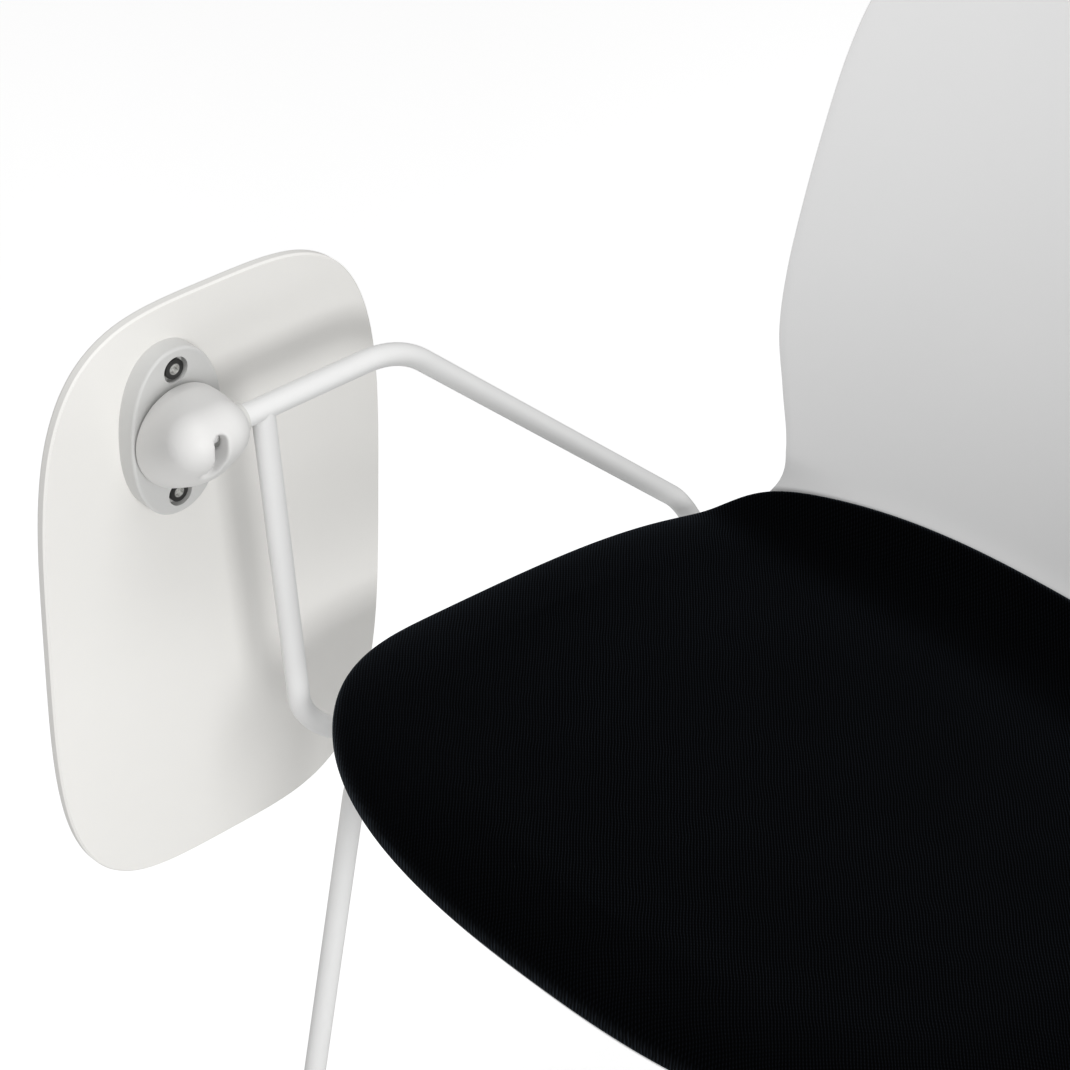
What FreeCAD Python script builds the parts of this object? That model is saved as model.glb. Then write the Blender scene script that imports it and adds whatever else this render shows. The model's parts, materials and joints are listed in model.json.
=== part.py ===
import FreeCAD, Part
import math
import os
import types

import Sketcher
from FreeCAD import Placement, Rotation, Vector

os.makedirs("parts", exist_ok=True)
doc = FreeCAD.newDocument("tablet_chair")

# Driving dimensions, in millimetres and degrees
# Front is -Y, the sitter's right is -X and the floor is at height zero.
SIZES = {
    # one-piece shell
    "shell_half": 220,
    "shell_wall": 6,
    "seat_front": 177,
    "seat_middle": 46,
    "seat_stand": 27,
    "seat_slope": 2.5,
    "seat_dish": 7,
    "lip_run": 50,
    "lip_drop": 4,
    "bend_radius": 70,
    "back_foot": 204.5,
    "back_lean": 12,
    "back_sweep": 8,
    "back_run": 346,
    "back_hollow": 450,
    "back_half": 198.5,
    "back_crest": 184.4,
    "boss_size": 18,
    # seat pad
    "pad_overhang": 8.3,
    "pad_crown": 21,
    "pad_edge": 10.5,
    "pad_nose": 30,
    "pad_draw": 3,
    "pad_wrap": 3,
    "pad_seat_gap": 0.3,
    "board_thick": 3,
    "board_inset": 45,
    # steel rod frame
    "rod_size": 12,
    "frame_high": 404,
    "leg_bend": 20,
    "front_run_lift": 11,
    "front_run_reach": 120.2,
    "front_run_half": 189,
    "front_foot_reach": 165,
    "front_foot_half": 209.7,
    "rear_run_reach": 110,
    "rear_run_half": 165,
    "rear_foot_reach": 212,
    "rear_foot_half": 205,
    "rail_half": 115,
    # mounting lugs and screws
    "lug_long": 38,
    "lug_wide": 26,
    "lug_thick": 4,
    "lug_offset": 20,
    "front_lug_reach": 95,
    "rear_lug_reach": 70,
    "screw_size": 5,
    "screw_head_size": 9.5,
    "screw_head_high": 3,
    "screw_bite": 9,
    "screw_key": 3,
    # foot glides
    "glide_size": 19,
    "glide_long": 30,
    "glide_sole": 5,
    "glide_chamfer": 2,
    # arm rods
    "arm_gap": 12,
    "arm_lift": 221,
    "arm_front": 195,
    "arm_corner": 56.2,
    "arm_bend": 60,
    "arm_low_bend": 22,
    "arm_low_lift": 16,
    "arm_rear_reach": 179,
    "tee_set": 51,
    "arm_front_reach": 121.8,
    "arm_plate_inset": 44,
    "arm_foot_lift": 4,
    "arm_foot_inset": 13,
    "arm_plate_wide": 36,
    "arm_plate_long": 222,
    "arm_plate_thick": 4,
    "arm_plate_middle": 31,
    "arm_screw_gap": 63,
    # hub on the rod's end
    "nose_size": 32,
    "nose_drop": 1.4,
    "nose_set": 22.7,
    "nose_long": 12.7,
    "mouth_set": 37.5,
    "hub_mouth_size": 24,
    "dome_size": 55.6,
    "dome_wall": 7,
    "dome_edge": 2,
    "swivel_set": 29,
    "swivel_drop": 23.7,
    "bush_size": 16,
    "bush_long": 18,
    "hub_floor": 0.5,
    "rod_fit": 0.05,
    "pin_size": 6.5,
    "pin_set": 13.5,
    "pin_out": 15,
    "pin_angle": 78,
    "slot_fit": 0.3,
    "flip_angle": 90,
    # swivel
    "pivot_size": 12,
    "pivot_head_size": 20,
    "pivot_head_high": 4,
    "pivot_thread_size": 8,
    "pivot_bite": 15,
    "pivot_key": 5,
    "pivot_sunk": 0.6,
    "spring_disc": 1.2,
    "friction_disc": 0.8,
    "friction_size": 52,
    "face_fit": 0.05,
    # flange
    "flange_thick": 11,
    "flange_wide": 56.5,
    "flange_long": 95.5,
    "flange_edge": 1.5,
    "flange_well_size": 24,
    "flange_screw_gap": 72,
    "flange_recess_size": 14.5,
    "flange_recess_deep": 5,
    "flange_screw_size": 6,
    "flange_head_size": 11,
    "flange_head_high": 4,
    "flange_key": 5,
    "insert_size": 10,
    "insert_long": 4.5,
    # writing tablet
    "hub_stand": 50,
    "tablet_thick": 6,
    "tablet_wide": 219.2,
    "tablet_long": 348.5,
    "tablet_drop": 106.4,
    "tablet_back_set": 32.4,
    "tablet_bevel": 1,
    "tablet_round": 1.5,
    # extra length of anything that only cuts
    "overrun": 20,
}

# Shares of the named sizes
SEAT_SHARES = ((-0.012, 1.07), (0.2, 1.045), (0.4, 1.01), (0.6, 0.995), (0.8, 0.965), (1.0, 0.915))
BEND_SHARES = ((0.33, 0.855), (0.67, 0.8), (1.0, 0.795))
BACK_SHARES = ((0.1, 0.838), (0.19, 0.879), (0.29, 0.9), (0.42, 0.915), (0.6, 0.925), (0.8, 0.935),
               (1.05, 0.94))
PAD_FRONT_SHARES = (0.005, 0.02, 0.05, 0.1, 0.18, 0.3, 0.45, 0.65)
PAD_REAR_SHARES = ((0.0, 1.0), (0.3, 0.998), (0.55, 0.993), (0.8, 0.972), (1.0, 0.93))
PAD_BEND_SHARES = ((0.3, 0.855, 0.88), (0.52, 0.775, 0.72), (0.68, 0.685, 0.6), (0.78, 0.585, 0.54),
                   (0.86, 0.44, 0.5))
DOME_SHARES = ((0.0, 0.97), (0.35, 0.93), (0.7, 0.79), (1.0, 0.6))
KEY_DEPTH_SHARE = 0.6
CUT_DEPTH_SHARE = 0.66
PAD_AHEAD_SHARE = 0.33
SEAT_POWER = 2.57
BACK_POWER = 3.8
TABLET_POWER = 3.64
FLANGE_POWER = 2.2
CURVE_POINTS = 9

sheet = doc.addObject("Spreadsheet::Sheet", "Sizes")
for row, (name, number) in enumerate(SIZES.items(), start=1):
    sheet.set(f"A{row}", name)
    sheet.set(f"B{row}", str(number))
    sheet.setAlias(f"B{row}", name)
doc.recompute()
size = types.SimpleNamespace(**{name: float(sheet.get(name)) for name in SIZES})
X_AXIS = Vector(1, 0, 0)
Y_AXIS = Vector(0, 1, 0)
Z_AXIS = Vector(0, 0, 1)
nodes = {}


# Helpers for bodies and sketches
def value(expression):
    return float(sheet.evalExpression(expression))


def new_body(name):
    body = doc.addObject("PartDesign::Body", name)
    body.Label = name
    return body


def sketch_on(body, role, name):
    plane = next(item for item in body.Origin.OriginFeatures if item.Role == role)
    sketch = body.newObject("Sketcher::SketchObject", name)
    sketch.AttachmentSupport = [(plane, "")]
    sketch.MapMode = "FlatFace"
    return sketch


def fix_point(sketch, line, end, across, up):
    """Tie one end of a line to its place, given as two expressions."""
    for kind, expression, axis in (("DistanceX", across, -2), ("DistanceY", up, -1)):
        if expression == "0":
            sketch.addConstraint(Sketcher.Constraint("PointOnObject", line, end, axis))
            continue
        rule = Sketcher.Constraint(kind, -1, 1, line, end, value(expression))
        index = sketch.addConstraint(rule)
        sketch.setExpression(f"Constraints[{index}]", expression)


def draw_outline(sketch, corners):
    """Join corners, given as pairs of expressions, by straight lines."""
    points = [Vector(value(across), value(up), 0) for across, up in corners]
    count = len(points)
    for line in range(count):
        sketch.addGeometry(Part.LineSegment(points[line], points[(line + 1) % count]), False)
    for line in range(count):
        sketch.addConstraint(Sketcher.Constraint("Coincident", line, 2, (line + 1) % count, 1))
    for line, (across, up) in enumerate(corners):
        fix_point(sketch, line, 1, across, up)


def draw_circle(sketch, across, up, diameter):
    centre = Vector(value(across), value(up), 0)
    circle = sketch.addGeometry(Part.Circle(centre, Z_AXIS, value(diameter) / 2), False)
    index = sketch.addConstraint(Sketcher.Constraint("Diameter", circle, value(diameter)))
    sketch.setExpression(f"Constraints[{index}]", diameter)
    fix_point(sketch, circle, 3, across, up)


def turned(name, corners):
    """Turn a profile of radius and height about the body's own Z axis."""
    body = new_body(name)
    profile = sketch_on(body, "XZ_Plane", name + "_profile")
    draw_outline(profile, corners)
    turn = body.newObject("PartDesign::Revolution", name + "_turn")
    turn.Profile = profile
    turn.ReferenceAxis = (profile, ["V_Axis"])
    turn.Angle = 360
    return body


def cut_hex(body, width, depth):
    """Sink a hexagon key socket into the body's top face at height zero."""
    key = sketch_on(body, "XY_Plane", body.Name + "_key")
    corners = []
    for turn in range(6):
        across = f"{width} / sqrt(3) * cos({60 * turn} deg)"
        up = "0" if turn in (0, 3) else f"{width} / sqrt(3) * sin({60 * turn} deg)"
        corners.append((across, up))
    draw_outline(key, corners)
    pocket = body.newObject("PartDesign::Pocket", body.Name + "_socket")
    pocket.Profile = key
    pocket.setExpression("Length", depth)


def screw_body(name, head, head_high, shank, length, key):
    """A socket screw with its head's top at height zero and its shank below."""
    body = turned(name, (
        ("0", "0"),
        (f"{head} / 2", "0"),
        (f"{head} / 2", f"-({head_high})"),
        (f"{shank} / 2", f"-({head_high})"),
        (f"{shank} / 2", f"-({head_high}) - ({length})"),
        ("0", f"-({head_high}) - ({length})"),
    ))
    cut_hex(body, key, f"{head_high} * {KEY_DEPTH_SHARE}")
    return body


def feature(name, shape):
    item = doc.addObject("Part::Feature", name)
    item.Label = name
    item.Shape = shape
    return item


def copies(name, source, places):
    """One node of the same piece at several places."""
    doc.recompute()
    solids = []
    for place in places:
        solid = source.Shape.copy()
        solid.Placement = place.multiply(solid.Placement)
        solids.append(solid)
    nodes[name] = feature(name, Part.Compound(solids))


def along(direction, point):
    """Lay a body's Z axis along a direction, from a point."""
    return Placement(point, Rotation(Z_AXIS, direction))


def rod_between(points, bend, diameter):
    """Round rod through points, with each corner bent to a radius."""
    edges = []
    start = points[0]
    for before, corner, after in zip(points, points[1:], points[2:]):
        inward = (before - corner).normalize()
        outward = (after - corner).normalize()
        half_turn = inward.getAngle(outward) / 2
        trim = bend / math.tan(half_turn)
        centre = corner + (inward + outward).normalize() * (bend / math.sin(half_turn))
        middle = centre + (corner - centre).normalize() * bend
        first, last = corner + inward * trim, corner + outward * trim
        edges.append(Part.LineSegment(start, first).toShape())
        edges.append(Part.Arc(first, middle, last).toShape())
        start = last
    edges.append(Part.LineSegment(start, points[-1]).toShape())
    section = Part.Circle(points[0], points[1] - points[0], diameter / 2).toShape()
    return Part.Wire(edges).makePipeShell([Part.Wire(section)], True, False)


def rounded_outline(half_across, half_up, power):
    """Points of a closed soft-cornered outline, all round, by one formula."""
    points = []
    for step in range(4 * CURVE_POINTS):
        turn = 2 * math.pi * step / (4 * CURVE_POINTS)
        across, up = math.cos(turn), math.sin(turn)
        reach = (abs(across) ** power + abs(up) ** power) ** (-1 / power)
        points.append((half_across * reach * across, half_up * reach * up))
    return points


def closed_curve(points):
    curve = Part.BSplineCurve()
    curve.interpolate(points, PeriodicFlag=True)
    return Part.Wire(curve.toShape())


# One-piece shell: its middle line runs back along the seat, round the bend and up the back
def lean(angle):
    """Unit vector that stands on the middle line where it climbs at an angle."""
    return Vector(0, -math.sin(math.radians(angle)), math.cos(math.radians(angle)))


SEAT_HIGH = size.frame_high + size.seat_stand
BEND_TURN = 90 - size.back_lean + size.seat_slope
BEND_TRIM = size.bend_radius * math.tan(math.radians(BEND_TURN / 2))
SEAT_REAR = size.back_foot - BEND_TRIM * math.cos(math.radians(size.seat_slope))
SEAT_HOLLOW = size.seat_dish / size.shell_half ** 2
BACK_HOLLOW = 1 / (2 * size.back_hollow)


def seat_station(reach):
    """Place, upward direction and hollow of the seat at a distance behind the origin."""
    climb = -math.tan(math.radians(size.seat_slope))
    past = max(0, -reach - size.seat_front + size.lip_run) / size.lip_run
    high = SEAT_HIGH + climb * reach - size.lip_drop * past ** 2
    grade = climb + 2 * size.lip_drop * past / size.lip_run
    return Vector(0, reach, high), Vector(0, -grade, 1).normalize(), SEAT_HOLLOW


def bend_station(share):
    angle = BEND_TURN * share - size.seat_slope
    pivot = seat_station(SEAT_REAR)[0] + lean(-size.seat_slope) * size.bend_radius
    hollow = SEAT_HOLLOW + (BACK_HOLLOW - SEAT_HOLLOW) * share
    return pivot - lean(angle) * size.bend_radius, lean(angle), hollow


def back_station(share):
    foot, start, hollow = bend_station(1)
    angle = 90 - size.back_lean - size.back_sweep * share
    radius = size.back_run / math.radians(size.back_sweep)
    return foot + (lean(angle) - start) * radius, lean(angle), BACK_HOLLOW


def strip(station, half, low, high, edge_high, draw=0):
    """Closed section across the shell or pad; its lower corners are drawn in from the upper."""
    centre, normal, hollow = station

    def at(side, reach, height):
        rise = hollow * reach ** 2 if side else 0
        return centre + X_AXIS * (side * reach) + normal * (height + rise)

    upper = Part.Arc(at(-1, half, edge_high), at(0, half, high), at(1, half, edge_high))
    lower = Part.Arc(at(1, half - draw, low), at(0, half, low), at(-1, half - draw, low))
    right = Part.LineSegment(upper.EndPoint, lower.StartPoint)
    left = Part.LineSegment(lower.EndPoint, upper.StartPoint)
    return Part.Wire([curve.toShape() for curve in (upper, right, lower, left)])


def seat_half(reach, half, front):
    """Half width of the seat's soft-cornered plan, which is widest at its middle."""
    share = max(0, -reach - size.seat_middle) / (front - size.seat_middle)
    return half * (1 - share ** SEAT_POWER) ** (1 / SEAT_POWER)


def shell_sheet():
    """Untrimmed sheet of the shell's wall, which follows its middle line."""
    run = size.seat_front + SEAT_REAR
    rows = [(seat_station(run * share - size.seat_front), wide) for share, wide in SEAT_SHARES]
    rows += [(bend_station(share), wide) for share, wide in BEND_SHARES]
    rows += [(back_station(share), wide) for share, wide in BACK_SHARES]
    wires = [strip(row, wide * size.shell_half, -size.shell_wall, 0, 0) for row, wide in rows]
    return Part.makeLoft(wires, True, False)


def lifted(shape, height):
    """Copy of a shape, moved up and forward, so that it lies on the seat and before the bend."""
    copy = shape.copy()
    copy.translate(Vector(0, -height, height))
    return copy


def plan_prism(inset, rear):
    """Upright block inside the seat's plan, from its soft-cornered front to a straight rear end."""
    points = []
    half = size.shell_half - inset
    deep = size.seat_front - inset - size.seat_middle
    for step in range(-CURVE_POINTS, CURVE_POINTS + 1):
        turn = math.pi / 2 * step / CURVE_POINTS
        across, ahead = math.sin(turn), math.cos(turn)
        reach = (abs(across) ** SEAT_POWER + ahead ** SEAT_POWER) ** (-1 / SEAT_POWER)
        points.append(Vector(half * reach * across, -size.seat_middle - deep * reach * ahead, 0))
    curve = Part.BSplineCurve()
    curve.interpolate(points)
    corners = [points[-1], Vector(points[-1].x, rear, 0), Vector(points[0].x, rear, 0), points[0]]
    face = Part.Face(Part.Wire([curve.toShape(), *Part.makePolygon(corners).Edges]))
    return face.extrude(Z_AXIS * (SEAT_HIGH * 2))


def front_prism(join):
    """Level block inside the back's outline seen from the front."""
    top = back_station(1)[0].z
    middle = top - size.back_crest
    points = []
    for step in range(-CURVE_POINTS, CURVE_POINTS + 1):
        turn = math.pi / 2 * step / CURVE_POINTS
        across, up = math.sin(turn), math.cos(turn)
        reach = (abs(across) ** BACK_POWER + up ** BACK_POWER) ** (-1 / BACK_POWER)
        points.append(Vector(size.back_half * reach * across, join, middle + size.back_crest * reach * up))
    curve = Part.BSplineCurve()
    curve.interpolate(points)
    corners = [points[-1], Vector(points[-1].x, join, 0), Vector(points[0].x, join, 0), points[0]]
    face = Part.Face(Part.Wire([curve.toShape(), *Part.makePolygon(corners).Edges]))
    return face.extrude(Y_AXIS * (size.back_foot + size.back_run))


def shell_face(across, reach):
    """Height of the shell's face above the floor, over its flat seat."""
    centre, _, hollow = seat_station(reach)
    return centre.z + hollow * across ** 2


LUG_HALF = size.rail_half - size.lug_offset
LUG_TOP = size.frame_high + size.rod_size / 2 + size.lug_thick
LUG_ROWS = (-size.front_lug_reach, size.rear_lug_reach)
LUG_PLACES = [(side * LUG_HALF, reach) for side in (-1, 1) for reach in LUG_ROWS]
ARM_REACH = size.shell_half + size.arm_gap
ARM_HIGH = size.frame_high + size.arm_lift
ARM_LOW_HIGH = size.frame_high + size.arm_low_lift
ARM_FOOT_HALF = size.shell_half - size.arm_plate_inset
ARM_FOOT_HIGH = size.frame_high + size.arm_foot_lift
ARM_PLATE_LOW = ARM_FOOT_HIGH + size.rod_size / 2
ARM_PLATE_TOP = ARM_PLATE_LOW + size.arm_plate_thick
ARM_SCREWS = [size.arm_plate_middle + step * size.arm_screw_gap for step in (-1, 0, 1)]
ARM_SCREW_PLACES = [(-ARM_FOOT_HALF, reach) for reach in ARM_SCREWS]
SHELL_SHEET = shell_sheet()


def build_shell():
    join = SEAT_REAR + size.overrun / 2
    shell = SHELL_SHEET.common(plan_prism(0, join).fuse(front_prism(join)))
    seats = [(place, LUG_TOP) for place in LUG_PLACES] + [(place, ARM_PLATE_TOP) for place in ARM_SCREW_PLACES]
    for (across, reach), low in seats:
        top = shell_face(across, reach) - size.shell_wall / 2
        boss = Part.makeCylinder(size.boss_size / 2, top - low, Vector(across, reach, low))
        shell = shell.fuse(boss)
    for (across, reach), low in seats:
        hole = Part.makeCylinder(size.screw_size / 2, size.screw_bite, Vector(across, reach, low))
        shell = shell.cut(hole)
    nodes["seat_shell"] = feature("seat_shell", shell)


# Seat pad and the board inside it
def nose(distance):
    """Share of the full height at a distance in from the pad's front edge."""
    inside = min(1, distance / size.pad_nose)
    return math.sqrt(1 - (1 - inside) ** 2)


def seat_block(inset):
    return plan_prism(inset, SEAT_REAR - size.board_inset / 2 - inset)


def seat_cutter(gap):
    """The shell's wall with a gap over it and at its sides, and with more depth."""
    wide = FreeCAD.Matrix()
    wide.A11 = 1 + 2 * gap / size.shell_half
    sheet = SHELL_SHEET.transformGeometry(wide)
    deeper = lifted(sheet, gap - size.shell_wall * CUT_DEPTH_SHARE)
    return lifted(sheet, gap).fuse(deeper).common(plan_prism(-gap, size.back_foot * 2))


def build_pad():
    half = size.shell_half + size.pad_overhang
    front = size.seat_front + size.pad_overhang * PAD_AHEAD_SHARE
    gap = size.pad_seat_gap

    def section(station, wide, tall):
        return strip(station, wide, -size.pad_wrap, gap + size.pad_crown * tall,
                     gap + size.pad_edge * tall, size.pad_draw)

    wires = []
    for share in PAD_FRONT_SHARES:
        distance = (front - size.seat_middle) * share
        wide = seat_half(distance - front, half, front)
        wires.append(section(seat_station(distance - front), wide, nose(distance)))
    for share, wide in PAD_REAR_SHARES:
        reach = -size.seat_middle + (SEAT_REAR + size.seat_middle) * share
        wires.append(section(seat_station(reach), wide * half, 1))
    for share, wide, tall in PAD_BEND_SHARES:
        wires.append(section(bend_station(share), wide * half, tall))
    pad = Part.makeLoft(wires, True, False)
    top = gap + size.board_thick
    well = lifted(SHELL_SHEET, top + gap).common(seat_block(size.board_inset - gap))
    nodes["seat_pad"] = feature("seat_pad", pad.cut(seat_cutter(gap)).cut(well))
    board = lifted(SHELL_SHEET, top).cut(lifted(SHELL_SHEET, gap))
    nodes["pad_board"] = feature("pad_board", board.common(seat_block(size.board_inset)))


# Leg hoops: half a hoop is swept along a bent path and mirrored
FRONT_RUN_HIGH = "Sizes.frame_high + Sizes.front_run_lift"
REAR_RUN_HIGH = "Sizes.frame_high"


def build_hoop(name, run_high, run_reach, run_half, foot_reach, foot_half, forward):
    body = new_body(name)
    depth = f"sqrt(({run_high})^2 + ({foot_reach} - {run_reach})^2)"
    cut = f"(1 - Sizes.glide_sole / ({run_high}))"
    foot = (f"{run_half} + ({foot_half} - {run_half}) * {cut}", f"-{depth} * {cut}")
    corner = Vector(value(run_half), 0, 0)
    foot_point = Vector(value(foot[0]), value(foot[1]), 0)
    down = (foot_point - corner).normalize()
    trim = size.leg_bend / math.tan(down.getAngle(-X_AXIS) / 2)
    first, last = corner - X_AXIS * trim, corner + down * trim
    circle = Part.Circle(first - Y_AXIS * size.leg_bend, Z_AXIS, size.leg_bend)
    bend = Part.ArcOfCircle(circle, math.atan2(down.y, down.x) + math.pi / 2, math.pi / 2)
    path = sketch_on(body, "XZ_Plane", name + "_path")
    path.addGeometry(Part.LineSegment(Vector(0, 0, 0), first), False)
    path.addGeometry(bend, False)
    path.addGeometry(Part.LineSegment(last, foot_point), False)
    path.addConstraint(Sketcher.Constraint("Coincident", 0, 1, -1, 1))
    path.addConstraint(Sketcher.Constraint("Horizontal", 0))
    path.addConstraint(Sketcher.Constraint("Tangent", 0, 2, 1, 2))
    path.addConstraint(Sketcher.Constraint("Tangent", 2, 1, 1, 1))
    index = path.addConstraint(Sketcher.Constraint("Radius", 1, size.leg_bend))
    path.setExpression(f"Constraints[{index}]", "Sizes.leg_bend")
    fix_point(path, 2, 2, *foot)
    mark = path.addGeometry(Part.Point(corner), True)
    path.addConstraint(Sketcher.Constraint("PointOnObject", mark, 1, 2))
    fix_point(path, mark, 1, run_half, "0")
    section = sketch_on(body, "YZ_Plane", name + "_section")
    draw_circle(section, "0", "0", "Sizes.rod_size")
    pipe = body.newObject("PartDesign::AdditivePipe", name + "_rod")
    pipe.Profile = section
    pipe.Spine = (path, ["Edge1", "Edge2", "Edge3"])
    mirror = body.newObject("PartDesign::Mirrored", name + "_pair")
    mirror.Originals = [pipe]
    mirror.MirrorPlane = (next(item for item in body.Origin.OriginFeatures if item.Role == "YZ_Plane"), [""])
    body.Tip = mirror
    tilt = math.degrees(math.atan2(value(foot_reach) - value(run_reach), value(run_high)))
    place = Vector(0, forward * value(run_reach), value(run_high))
    body.Placement = Placement(place, Rotation(X_AXIS, forward * tilt))
    nodes[name] = body


# Foot glides: a turned cap on each leg's end, cut level with the floor
def build_glides():
    ends = (("front", -1, FRONT_RUN_HIGH), ("rear", 1, REAR_RUN_HIGH))
    for end, forward, run_high in ends:
        names = [f"Sizes.{end}_{word}" for word in ("run_half", "foot_half", "run_reach", "foot_reach")]
        run_half, foot_half, run_reach, foot_reach = names
        length = f"sqrt(({run_high})^2 + ({foot_reach} - {run_reach})^2 + ({foot_half} - {run_half})^2)"
        seat = f"Sizes.glide_sole * {length} / ({run_high})"
        for side, word in ((-1, "right"), (1, "left")):
            cap = turned(f"cap_{end}_{word}", (
                ("0", "-Sizes.glide_sole"),
                ("Sizes.glide_size / 2", "-Sizes.glide_sole"),
                ("Sizes.glide_size / 2", "Sizes.glide_long - Sizes.glide_chamfer"),
                ("Sizes.glide_size / 2 - Sizes.glide_chamfer", "Sizes.glide_long"),
                ("Sizes.rod_size / 2", "Sizes.glide_long"),
                ("Sizes.rod_size / 2", seat),
                ("0", seat),
            ))
            foot = Vector(side * value(foot_half), forward * value(foot_reach), 0)
            corner = Vector(side * value(run_half), forward * value(run_reach), value(run_high))
            cap.Placement = along(corner - foot, foot)
            floor = doc.addObject("Part::Box", f"floor_{end}_{word}")
            for side_name in ("Length", "Width", "Height"):
                floor.setExpression(side_name, "Sizes.glide_size * 2")
            floor.Placement.Base = foot - Vector(size.glide_size, size.glide_size, size.glide_size * 2)
            glide = doc.addObject("Part::Cut", f"glide_{end}_{word}")
            glide.Label = glide.Name
            glide.Base, glide.Tool = cap, floor
            nodes[glide.Name] = glide


# Side rails, notched over the round runs of the two hoops, and the lugs on them
def build_rails():
    runs = []
    for name, reach, high in (("front", "-Sizes.front_run_reach", FRONT_RUN_HIGH),
                              ("rear", "Sizes.rear_run_reach", REAR_RUN_HIGH)):
        run = doc.addObject("Part::Cylinder", name + "_run")
        run.setExpression("Radius", "Sizes.rod_size / 2")
        run.setExpression("Height", "Sizes.rail_half * 2 + Sizes.overrun * 2")
        place = Vector(-size.rail_half - size.overrun, value(reach), value(high))
        run.Placement = along(X_AXIS, place)
        runs.append(run)
    both = doc.addObject("Part::MultiFuse", "hoop_runs")
    both.Shapes = runs
    for side, word in ((-1, "right"), (1, "left")):
        rod = doc.addObject("Part::Cylinder", f"rail_rod_{word}")
        rod.setExpression("Radius", "Sizes.rod_size / 2")
        rod.setExpression("Height", "Sizes.front_run_reach + Sizes.rear_run_reach + Sizes.rod_size / 2")
        front = -size.front_run_reach - size.rod_size / 2
        rod.Placement = along(Y_AXIS, Vector(side * size.rail_half, front, size.frame_high))
        rail = doc.addObject("Part::Cut", f"side_rail_{word}")
        rail.Label = rail.Name
        rail.Base, rail.Tool = rod, both
        nodes[rail.Name] = rail


def plate_body(name, wide, long, thick, holes, hole_size):
    """Flat plate on the XY plane with screw holes, pads upward."""
    body = new_body(name)
    plan = sketch_on(body, "XY_Plane", name + "_plan")
    draw_outline(plan, (
        (f"-{wide} / 2", f"-{long} / 2"), (f"{wide} / 2", f"-{long} / 2"),
        (f"{wide} / 2", f"{long} / 2"), (f"-{wide} / 2", f"{long} / 2"),
    ))
    pad = body.newObject("PartDesign::Pad", name + "_pad")
    pad.Profile = plan
    pad.setExpression("Length", thick)
    drill = sketch_on(body, "XY_Plane", name + "_drill")
    for across, up in holes:
        draw_circle(drill, across, up, hole_size)
    pocket = body.newObject("PartDesign::Pocket", name + "_holes")
    pocket.Profile = drill
    pocket.Reversed = True
    pocket.setExpression("Length", thick)
    body.Tip = pocket
    return body


def build_lugs():
    hole = ("Sizes.lug_offset - Sizes.lug_long / 2 + Sizes.rod_size / 2", "0")
    lug = plate_body("lug", "Sizes.lug_long", "Sizes.lug_wide", "Sizes.lug_thick", [hole], "Sizes.screw_size")
    low = LUG_TOP - size.lug_thick
    half = size.rail_half + size.rod_size / 2 - size.lug_long / 2
    places = []
    for across, reach in LUG_PLACES:
        side = 1 if across > 0 else -1
        turn = Rotation(Z_AXIS, 180 if side > 0 else 0)
        places.append(Placement(Vector(side * half, reach, low), turn))
    copies("mounting_lugs", lug, places)
    screw = screw_body("shell_screw", "Sizes.screw_head_size", "Sizes.screw_head_high", "Sizes.screw_size",
                       "Sizes.lug_thick + Sizes.screw_bite", "Sizes.screw_key")
    head_low = low - size.screw_head_high
    copies("shell_screws", screw, [along(-Z_AXIS, Vector(x, y, head_low)) for x, y in LUG_PLACES])


# Arm rods, welded to each other in a T and to the plate under the seat
ARM_AXIS = Vector(-ARM_REACH, 0, ARM_HIGH)
PIN_PLACE = ARM_AXIS + Y_AXIS * (size.pin_set - size.arm_front)


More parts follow.
